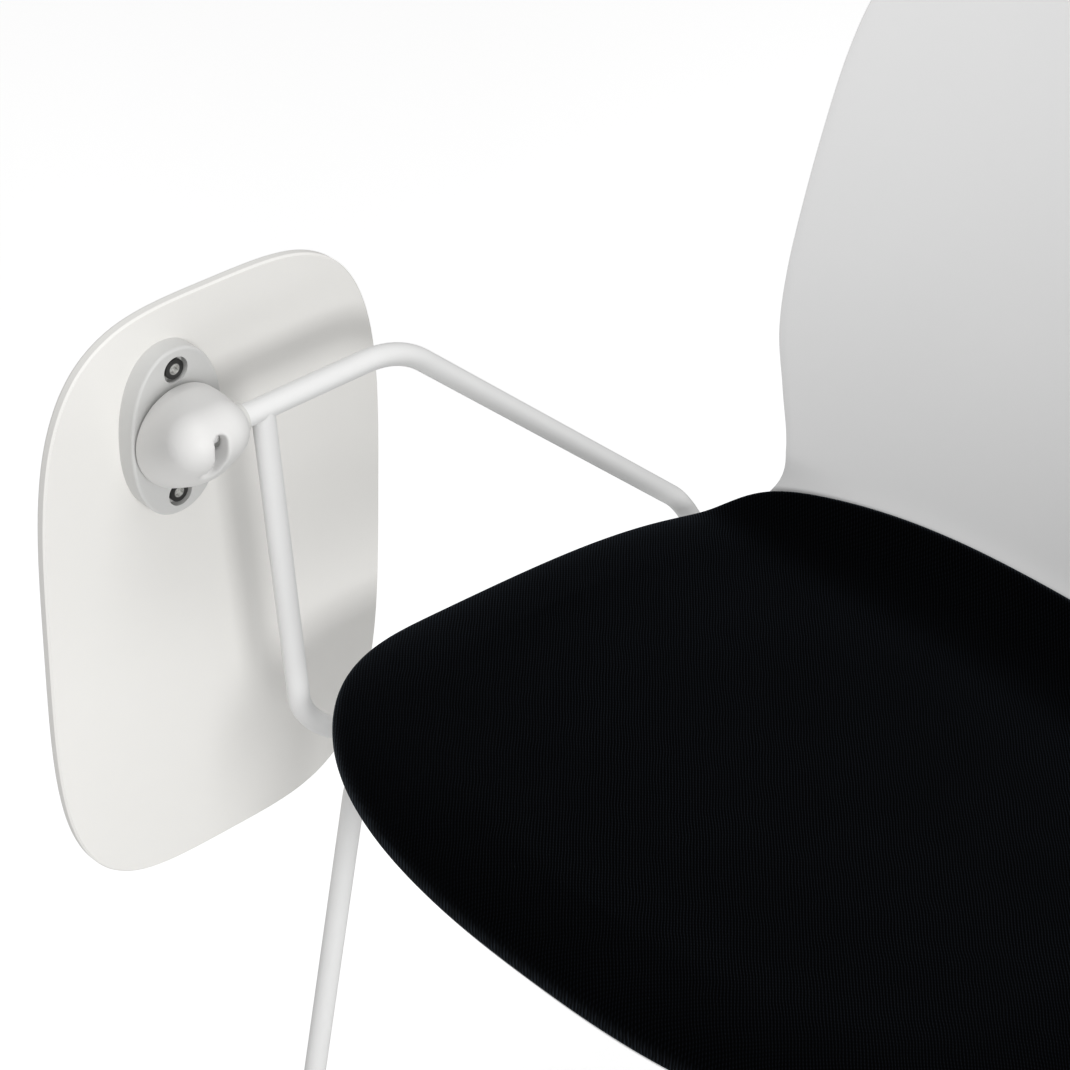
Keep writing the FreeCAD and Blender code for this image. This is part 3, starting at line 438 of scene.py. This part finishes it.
def use_group(tree, group, **inputs):
    """Output of a group, with its inputs given by name."""
    node = add(tree, "ShaderNodeGroup", node_tree=group)
    for label, entry in inputs.items():
        feed(tree, entry, node.inputs[label.replace("_", " ").capitalize()])
    return node.outputs[0]


MOTTLE = mottle_group()
GRAIN = grain_group()


# Materials
def new_material(name, colour, roughness, metallic=0.0, specular=0.5):
    material = bpy.data.materials.new(name)
    material.use_nodes = True
    tree = material.node_tree
    shader = tree.nodes["Principled BSDF"]
    shader.inputs["Base Color"].default_value = (*colour, 1)
    shader.inputs["Roughness"].default_value = roughness
    shader.inputs["Metallic"].default_value = metallic
    shader.inputs["Specular IOR Level"].default_value = specular
    return material, tree, shader


def object_place(tree):
    return add(tree, "ShaderNodeTexCoord").outputs["Object"]


def split(tree, vector):
    node = add(tree, "ShaderNodeSeparateXYZ")
    link(tree, vector, node.inputs[0])
    return node.outputs


def tint(tree, shader, colour, tone):
    """Base colour times a tone that changes over the surface."""
    scaled = add(tree, "ShaderNodeVectorMath", operation="SCALE")
    scaled.inputs[0].default_value = colour
    link(tree, tone, scaled.inputs["Scale"])
    link(tree, scaled.outputs[0], shader.inputs["Base Color"])


def bump(tree, shader, height, strength, distance):
    node = add(tree, "ShaderNodeBump")
    node.inputs["Strength"].default_value = strength
    node.inputs["Distance"].default_value = distance
    link(tree, height, node.inputs["Height"])
    link(tree, node.outputs["Normal"], shader.inputs["Normal"])


def turned_skin(tree, shader, place, depth):
    """Fine grain of a turned or plated metal."""
    grain = use_group(tree, GRAIN, vector=place, peel_scale=2500.0, grain_scale=6000.0,
                      grain_share=0.6)
    bump(tree, shader, grain, 0.3, depth)


def skin_material(name, colour, roughness, peel_scale=300.0, grain_scale=1800.0, grain_share=0.4,
                  depth=0.00003, mottle_scale=25.0, mottle=0.03):
    """Moulded plastic or powder coat: its tone, roughness and skin change over the surface."""
    material, tree, shader = new_material(name, colour, roughness)
    place = object_place(tree)
    tone = use_group(tree, MOTTLE, vector=place, scale=mottle_scale, amount=mottle)
    tint(tree, shader, colour, tone)
    link(tree, math_node(tree, "MULTIPLY", tone, roughness), shader.inputs["Roughness"])
    grain = use_group(tree, GRAIN, vector=place, peel_scale=peel_scale, grain_scale=grain_scale,
                      grain_share=grain_share)
    bump(tree, shader, grain, 0.5, depth)
    return material


def metal_material(name, colour, roughness):
    material, tree, shader = new_material(name, colour, roughness, 1.0)
    place = object_place(tree)
    tone = use_group(tree, MOTTLE, vector=place, scale=400.0, amount=0.25)
    tint(tree, shader, colour, tone)
    link(tree, math_node(tree, "MULTIPLY", tone, roughness), shader.inputs["Roughness"])
    turned_skin(tree, shader, place, 0.00001)
    return material


def screw_material(name, colour, glint_colour):
    """Black screw head with a painted glint: its key socket painted bright in patches, in place of
    a highlight.
    """
    material, tree, shader = new_material(name, colour, 0.3, 0.6)
    place = object_place(tree)
    parts = split(tree, place)
    across = math_node(tree, "SUBTRACT", parts["Y"], SWIVEL.y)
    high = math_node(tree, "ABSOLUTE", math_node(tree, "SUBTRACT", parts["Z"], SWIVEL.z))
    off = math_node(tree, "SUBTRACT", high, FLANGE_SCREW_GAP / 2)
    squares = [math_node(tree, "MULTIPLY", reach, reach) for reach in (across, off)]
    apart = math_node(tree, "SQRT", math_node(tree, "ADD", *squares))
    # Painted glint: a bright disc over each key socket, broken into patches, stands in for a
    # highlight
    socket = add(tree, "ShaderNodeMapRange")
    socket.inputs["From Min"].default_value = SOCKET_OUTER
    socket.inputs["From Max"].default_value = SOCKET_INNER
    link(tree, apart, socket.inputs["Value"])
    glint_patches = math_node(tree, "MULTIPLY_ADD", noise(tree, place, 700.0), 1.2, 0.2)
    mix = add(tree, "ShaderNodeMix", data_type="RGBA")
    mix.inputs["A"].default_value = (*colour, 1)
    mix.inputs["B"].default_value = (*glint_colour, 1)
    painted_glint = math_node(tree, "MULTIPLY", socket.outputs["Result"], glint_patches)
    link(tree, painted_glint, mix.inputs["Factor"])
    link(tree, mix.outputs["Result"], shader.inputs["Base Color"])
    turned_skin(tree, shader, place, 0.00002)
    return material


def cloth_material(name, colour):
    """Ribbed cloth: fine twill ribs across the seat's diagonal, broken by short threads."""
    material, tree, shader = new_material(name, colour, 0.9, specular=0.02)
    place = object_place(tree)
    parts = split(tree, place)

    def calc(operation, *entries):
        return math_node(tree, operation, *entries)

    wander = calc("MULTIPLY", noise(tree, place, 40.0), RIB_PITCH * RIB_WANDER)
    over = calc("ADD", parts["X"], parts["Y"])
    along = calc("SUBTRACT", parts["X"], parts["Y"])
    turn = math.pi * math.sqrt(2) / RIB_PITCH
    rib = calc("SINE", calc("MULTIPLY", calc("ADD", over, wander), turn))
    thread = calc("SINE", calc("MULTIPLY", calc("ADD", along, wander), turn * THREAD_RATE))
    threads = calc("MULTIPLY_ADD", thread, THREAD_SHARE, 0.5)
    weave = calc("MULTIPLY_ADD", rib, RIB_SHARE, threads)
    slub = noise(tree, place, SLUB_SCALE, 2.0, 0.6)
    height = calc("MULTIPLY_ADD", slub, SLUB_SHARE, weave)
    tone = use_group(tree, MOTTLE, vector=place, scale=14.0, amount=0.6)
    # Painted sheen: the colour is brightened where the surface turns away from the view
    turned = add(tree, "ShaderNodeLayerWeight")
    turned.inputs["Blend"].default_value = 0.5
    edge = calc("POWER", turned.outputs["Facing"], PAINTED_SHEEN_POWER)
    painted_sheen = calc("MULTIPLY_ADD", edge, PAINTED_SHEEN_GAIN, 1.0)
    ridge = calc("POWER", calc("MAXIMUM", weave, 0.0), RIDGE_POWER)
    lit = calc("MULTIPLY", calc("MULTIPLY_ADD", ridge, RIDGE_LIGHT, RIDGE_BASE), tone)
    tint(tree, shader, colour, calc("MULTIPLY", lit, painted_sheen))
    bump(tree, shader, height, 0.8, WEAVE_DEPTH)
    shader.inputs["Sheen Weight"].default_value = SHEEN
    shader.inputs["Sheen Roughness"].default_value = SHEEN_ROUGHNESS
    shader.inputs["Sheen Tint"].default_value = SHEEN_TINT
    return material


def ply_material(name, colour):
    """Raw plywood: grain along the seat, in thin layers."""
    material, tree, shader = new_material(name, colour, 0.6)
    stretch = add(tree, "ShaderNodeMapping")
    stretch.inputs["Scale"].default_value = (1.0, 0.08, 6.0)
    link(tree, object_place(tree), stretch.inputs["Vector"])
    grain = noise(tree, stretch.outputs[0], 160.0, 5.0, 0.65)
    tint(tree, shader, colour, math_node(tree, "MULTIPLY_ADD", grain, 0.5, 0.75))
    bump(tree, shader, grain, 0.4, 0.0002)
    return material


# Skins: colour, roughness, peel's scale, grain's scale and share, depth, mottle's scale and amount
MOULDED = (700.0, 3000.0, 0.4, 0.00002, 40.0, 0.03)
SKINS = {
    "shell_plastic": ((0.715, 0.715, 0.715), 0.42, 500.0, 2500.0, 0.5, 0.00002, 12.0, 0.02),
    "frame_paint": ((0.75, 0.75, 0.745), 0.45, 900.0, 3500.0, 0.3, 0.00004, 60.0, 0.03),
    "glide_plastic": ((0.42, 0.42, 0.42), 0.55),
    "hub_plastic": ((0.70, 0.695, 0.685), 0.55, *MOULDED),
    "bush_plastic": ((0.6, 0.6, 0.58), 0.4),
    "washer_plastic": ((0.03, 0.03, 0.03), 0.5),
    "flange_plastic": ((0.585, 0.585, 0.575), 0.42, *MOULDED),
    "tablet_laminate": ((0.785, 0.775, 0.75), 0.55, 400.0, 2200.0, 0.5, 0.00002, 9.0, 0.02),
}
MATERIALS = {slot: skin_material(slot, *skin) for slot, skin in SKINS.items()}
MATERIALS |= {
    "pad_fabric": cloth_material("pad_fabric", (0.0004, 0.0005, 0.0007)),
    "board_wood": ply_material("board_wood", (0.55, 0.42, 0.28)),
    "zinc_steel": metal_material("zinc_steel", (0.62, 0.63, 0.64), 0.3),
    "insert_brass": metal_material("insert_brass", (0.7, 0.52, 0.25), 0.3),
    # Black screw steel, with a painted glint in its key sockets
    "black_steel": screw_material("black_steel", (0.05, 0.05, 0.05), (0.8, 0.8, 0.78)),
}

for row in frame["record"]["subparts"]:
    node = NODES[row["node"]]
    node.data.materials.clear()
    node.data.materials.append(MATERIALS[row["material_slot"]])


# Shell: a smooth sheet with a rounded rim, and bosses below
def make_shell():
    bm = bmesh.new()
    wide_cells, long_cells = SHELL_CELLS
    bmesh.ops.create_grid(bm, x_segments=wide_cells, y_segments=long_cells, size=0.5)
    for vert in bm.verts:
        across, run = shell_plan(vert.co.x + 0.5, vert.co.y + 0.5)
        vert.co = on_shell(across, run)
    bmesh.ops.recalc_face_normals(bm, faces=bm.faces)
    middle = Vector((0, 0, SEAT_HIGH))
    top = min(bm.faces, key=lambda face: (face.calc_center_median() - middle).length)
    if top.normal.z < 0:
        bmesh.ops.reverse_faces(bm, faces=bm.faces)
    piece = finish_piece(bm, "shell", "chair", "shell_plastic")
    add_modifier(piece, "wall", "SOLIDIFY", thickness=SHELL_WALL, offset=-1, use_even_offset=True)
    add_modifier(piece, "rim", "BEVEL", width=RIM_ROUND, segments=3, limit_method="ANGLE",
                 angle_limit=RIM_ANGLE)
    apply_modifiers(piece)
    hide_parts("seat_shell")


def make_bosses():
    """Screw bosses under the seat: one on each lug and three on the arm plate."""
    bm = bmesh.new()
    lugs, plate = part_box("mounting_lugs"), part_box("arm_plate")
    low_lug, low_plate = lugs[1].z, plate[1].z
    places = [(side * LUG_SCREW_HALF, reach, low_lug) for side in (-1, 1)
              for reach in (lugs[0].y + LUG_SCREW_INSET, lugs[1].y - LUG_SCREW_INSET)]
    across, middle = (plate[0].x + plate[1].x) / 2, (plate[0].y + plate[1].y) / 2
    places += [(across, middle + step * PLATE_SCREW_STEP, low_plate) for step in (-1, 0, 1)]
    for x, y, low in places:
        top = on_shell(x, run_at(y), -SHELL_WALL / 2).z
        shift = Matrix.Translation((x, y, (low + top) / 2))
        bmesh.ops.create_cone(bm, cap_ends=True, segments=BOSS_SIDES, radius1=BOSS_RADIUS,
                              radius2=BOSS_ROOT_RADIUS, depth=top - low, matrix=shift)
    rims = [edge for edge in bm.edges if edge.calc_face_angle(0) > BOSS_RIM_ANGLE
            and edge.verts[0].co.z < low_plate + BOSS_RIM_ABOVE]
    bmesh.ops.bevel(bm, geom=rims, offset=BOSS_RIM, segments=2, profile=0.5, affect="EDGES",
                    material=-1)
    finish_piece(bm, "shell_bosses", "chair", "shell_plastic", sharp=40)


# Seat pad
def pad_outline():
    """Closed outline of the pad as (across, run), in even steps."""
    half = SHELL_HALF + PAD_OVERHANG
    ahead, behind = FRONT_RUN + PAD_AHEAD, PAD_REAR_RUN - FRONT_RUN
    fine = []
    for step in range(OUTLINE_STEPS):
        turn = 2 * math.pi * step / OUTLINE_STEPS
        power = SEAT_POWER if math.cos(turn) > 0 else PAD_REAR_POWER
        across, forward = soft_end(turn, power)
        run = FRONT_RUN - forward * (ahead if forward > 0 else behind)
        fine.append(Vector((across * half, run)))
    lengths = [0.0]
    for first, second in zip(fine, fine[1:] + fine[:1]):
        lengths.append(lengths[-1] + (second - first).length)
    count, ring, index = 4 * PAD_CELLS, [], 0
    for step in range(count):
        goal = lengths[-1] * step / count
        while lengths[index + 1] < goal:
            index += 1
        share = (goal - lengths[index]) / (lengths[index + 1] - lengths[index])
        ring.append(fine[index].lerp(fine[(index + 1) % OUTLINE_STEPS], share))
    return ring


def inset_ring(ring, inset):
    """Outline moved inward by a distance, square to itself."""
    moved = []
    for before, point, after in zip(ring[-1:] + ring[:-1], ring, ring[1:] + ring[:1]):
        along = (after - before).normalized()
        moved.append(point + Vector((-along.y, along.x)) * inset)
    return moved


def fill_square(ring, u, v):
    """Point inside a ring that a unit square's point maps to."""
    last = PAD_CELLS

    def side(start, share):
        place = share * last
        low = min(int(place), last - 1)
        first, second = (ring[(start + low + step) % (4 * last)] for step in (0, 1))
        return first.lerp(second, place - low)

    bottom, top = side(0, u), side(2 * last, 1 - u)
    right, left = side(last, v), side(3 * last, 1 - v)
    corners = [ring[0] * (1 - u) * (1 - v), ring[last] * u * (1 - v),
               ring[2 * last] * u * v, ring[3 * last] * (1 - u) * v]
    return bottom * (1 - v) + top * v + left * (1 - u) + right * u - sum(corners, Vector((0, 0)))


def make_pad():
    """Crowned pad: rings round its side, a fill above and below, laid on the shell, smoothed."""
    rings = [inset_ring(pad_outline(), inset) for inset, _ in PAD_SIDE]
    count, last_row = 4 * PAD_CELLS, len(PAD_SIDE) - 1
    bm = bmesh.new()
    side = bmesh.ops.create_grid(bm, x_segments=count, y_segments=last_row, size=0.5)["verts"]
    for vert in side:
        step = round((vert.co.x + 0.5) * count) % count
        row = round((vert.co.y + 0.5) * last_row)
        vert.co = (*rings[row][step], PAD_SIDE[row][1])
    for row in (0, last_row):
        fill = bmesh.ops.create_grid(bm, x_segments=PAD_CELLS, y_segments=PAD_CELLS, size=0.5)
        for vert in fill["verts"]:
            flat = fill_square(rings[row], vert.co.x + 0.5, vert.co.y + 0.5)
            inside = min((flat - point).length for point in rings[row])
            crown = PAD_CROWN * smooth_step(inside / PAD_CROWN_REACH) if row else 0
            vert.co = (*flat, PAD_SIDE[row][1] + crown)
    bmesh.ops.remove_doubles(bm, verts=bm.verts, dist=PAD_MERGE)
    for vert in bm.verts:
        across, run, height = vert.co
        if height < 0:
            room = abs(across) - side_of_shell(run) if run > 0 else 1
            height *= smooth_step((room - PAD_SKIRT_CLEAR) / PAD_SKIRT_REACH)
        else:
            rise = (run - SEAT_RUN) / (PAD_REAR_RUN - SEAT_RUN)
            height *= 1 - PAD_REAR_THIN * smooth_step(rise)
        vert.co = on_shell(across, run, PAD_GAP + height)
    bmesh.ops.recalc_face_normals(bm, faces=bm.faces)
    piece = finish_piece(bm, "seat_cushion", "chair", "pad_fabric")
    add_modifier(piece, "soft", "SUBSURF", levels=2, render_levels=2)
    apply_modifiers(piece)
    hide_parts("seat_pad")


# Hub: a dome that flows into the nose round the rod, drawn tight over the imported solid
def round_cutter(size, start, way, long):
    """Cylinder that cuts a round hole."""
    bm = bmesh.new()
    turn = way.to_track_quat("Z", "Y").to_matrix().to_4x4()
    middle = Matrix.Translation(start + way * long / 2)
    bmesh.ops.create_cone(bm, cap_ends=True, segments=CUTTER_SIDES, radius1=size / 2,
                          radius2=size / 2, depth=long, matrix=middle @ turn)
    return bm


def slot_cutter():
    """Slot round the rod's axis with round ends."""
    bm = bmesh.new()
    middle = ARM_END + Vector((0, SLOT_SET, 0))
    turns = [math.radians(90 / SLOT_END_STEPS * step - 90)
             for step in range(2 * SLOT_END_STEPS + 1)]

    def end_steps(angle, part):
        return [(angle + SLOT_HALF / SLOT_SKIN * math.sin(turn), SLOT_HALF * math.cos(turn))
                for turn in part]

    steps = end_steps(SLOT_FIRST, turns[:SLOT_END_STEPS + 1])
    steps += [(SLOT_FIRST + (SLOT_LAST - SLOT_FIRST) * step / SLOT_STEPS, SLOT_HALF)
              for step in range(1, SLOT_STEPS)]
    steps += end_steps(SLOT_LAST, turns[SLOT_END_STEPS:])
    rings = []
    for angle, half in steps:
        way = Vector((math.cos(angle), 0, -math.sin(angle)))
        half = max(half, SLOT_POINT)
        corners = ((SLOT_INNER, -half), (SLOT_OUTER, -half), (SLOT_OUTER, half),
                   (SLOT_INNER, half))
        rings.append([bm.verts.new(middle + way * reach + Vector((0, side, 0)))
                      for reach, side in corners])
    for ring, after in zip(rings, rings[1:]):
        for i in range(4):
            bm.faces.new((ring[i], ring[(i + 1) % 4], after[(i + 1) % 4], after[i]))
    bm.faces.new(rings[0])
    bm.faces.new(rings[-1])
    bmesh.ops.recalc_face_normals(bm, faces=bm.faces)
    return bm


def smooth_voxels(piece, voxel, rounds):
    add_modifier(piece, "voxels", "REMESH", mode="VOXEL", voxel_size=voxel)
    add_modifier(piece, "soften", "SMOOTH", factor=SOFTEN_SHARE, iterations=rounds)
    apply_modifiers(piece)


def make_hub():
    bm = copy_of_node("hub_housing")
    bmesh.ops.delete(bm, geom=bm.faces[:] + bm.edges[:], context="EDGES_FACES")
    tight = bmesh.ops.convex_hull(bm, input=bm.verts)
    inside = {item for item in tight["geom_interior"] + tight["geom_unused"]
              if isinstance(item, bmesh.types.BMVert)}
    bmesh.ops.delete(bm, geom=list(inside), context="VERTS")
    piece = finish_piece(bm, "hub_shell", "hub", "hub_plastic")
    smooth_voxels(piece, HULL_VOXEL, HULL_SOFTNESS)
    bore_start = ARM_END - Vector((0, BORE_AHEAD, 0))
    thread_start = SWIVEL + Vector((THREAD_SET, 0, 0))
    cutters = {
        "bore": round_cutter(BORE_SIZE, bore_start, Vector((0, 1, 0)), BORE_LONG),
        "thread": round_cutter(THREAD_SIZE, thread_start, Vector((1, 0, 0)), THREAD_LONG),
        "slot": slot_cutter(),
    }
    for name, cutter_bm in cutters.items():
        cutter = place_mesh(cutter_bm, name)
        add_modifier(piece, name, "BOOLEAN", operation="DIFFERENCE", solver="EXACT", object=cutter)
        apply_modifiers(piece)
        bpy.data.objects.remove(cutter)
    smooth_voxels(piece, SKIN_VOXEL, SKIN_SOFTNESS)
    for face in piece.data.polygons:
        face.use_smooth = True
    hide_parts("hub_housing")


# Floor, light and camera
def make_floor():
    bm = bmesh.new()
    bmesh.ops.create_grid(bm, x_segments=1, y_segments=1, size=FLOOR_HALF)
    floor = place_mesh(bm, "floor")
    material, tree, shader = new_material("floor_white", (0.9, 0.9, 0.9), 0.9, specular=0.1)
    seen = add(tree, "ShaderNodeLightPath").outputs["Is Camera Ray"]
    link(tree, seen, shader.inputs["Emission Color"])
    shader.inputs["Emission Strength"].default_value = FLOOR_GLOW
    floor.data.materials.append(material)


def make_world():
    world = bpy.data.worlds.new("studio")
    bpy.context.scene.world = world
    world.use_nodes = True
    tree = world.node_tree
    seen = add(tree, "ShaderNodeLightPath").outputs["Is Camera Ray"]
    white = math_node(tree, "MULTIPLY_ADD", seen, 1 - WORLD_LIGHT, WORLD_LIGHT)
    background = tree.nodes["Background"]
    link(tree, white, background.inputs["Color"])
    background.inputs["Strength"].default_value = 1.0


def make_lights():
    for name, place, size, watts in SOFTBOXES:
        data = bpy.data.lights.new(name, "AREA")
        data.shape = "SQUARE"
        data.size = size
        data.energy = watts
        light = bpy.data.objects.new(name, data)
        turn = (LIGHT_AIM - place).to_track_quat("-Z", "Y").to_matrix().to_4x4()
        light.matrix_world = Matrix.Translation(place) @ turn
        bpy.context.scene.collection.objects.link(light)


def make_camera():
    angles = (CAMERA_AZIMUTH, CAMERA_ELEVATION, CAMERA_ROLL)
    azimuth, elevation, roll = (math.radians(angle) for angle in angles)
    level = math.cos(elevation)
    back = Vector((math.sin(azimuth) * level, -math.cos(azimuth) * level, math.sin(elevation)))
    right = Vector((math.cos(azimuth), math.sin(azimuth), 0))
    up = back.cross(right)
    turned_right = right * math.cos(roll) + up * math.sin(roll)
    turned_up = up * math.cos(roll) - right * math.sin(roll)
    data = bpy.data.cameras.new("camera")
    data.sensor_fit = "HORIZONTAL"
    data.sensor_width = SENSOR_MM
    data.lens = CAMERA_FOCUS_PX / PHOTO_PX * SENSOR_MM
    data.clip_end = CAMERA_SIGHT
    camera = bpy.data.objects.new("camera", data)
    turn = Matrix((turned_right, turned_up, back)).transposed().to_4x4()
    camera.matrix_world = Matrix.Translation(CAMERA_PLACE) @ turn
    bpy.context.scene.collection.objects.link(camera)
    bpy.context.scene.camera = camera


make_shell()
make_bosses()
make_pad()
make_hub()
make_floor()
make_world()
make_lights()
make_camera()
bpy.context.scene.view_settings.view_transform = "Standard"
